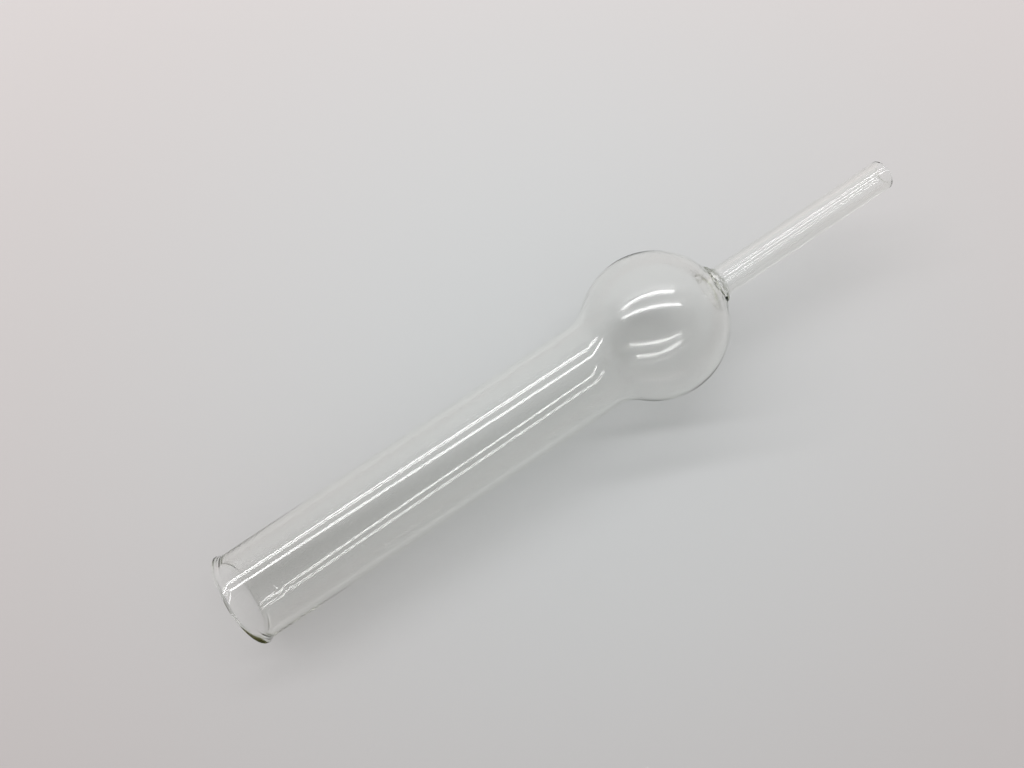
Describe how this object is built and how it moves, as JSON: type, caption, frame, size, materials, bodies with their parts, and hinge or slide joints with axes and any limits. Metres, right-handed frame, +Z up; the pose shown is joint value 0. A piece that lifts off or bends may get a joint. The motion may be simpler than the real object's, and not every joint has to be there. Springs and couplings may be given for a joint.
{
  "type": "drying tube",
  "caption": "Straight glass drying tube: a wide open tube that holds a packing runs into a round bulb, and a narrow stem beyond it takes a hose.",
  "frame": {"origin": "under the middle of the overall length and width, on the table that the piece lies on", "axes": "+X along the piece from the open mouth to the stem, +Z up; the piece's own axis rises 3.1 degrees towards the stem, because it rests on its lip and its bulb"},
  "size_m": [0.1504, 0.0292, 0.0292],
  "materials": {
    "clear_glass": "clear, fire-polished ends"
  },
  "bodies": {
    "root": {"glass_tube": "clear_glass"}
  },
  "joints": []
}
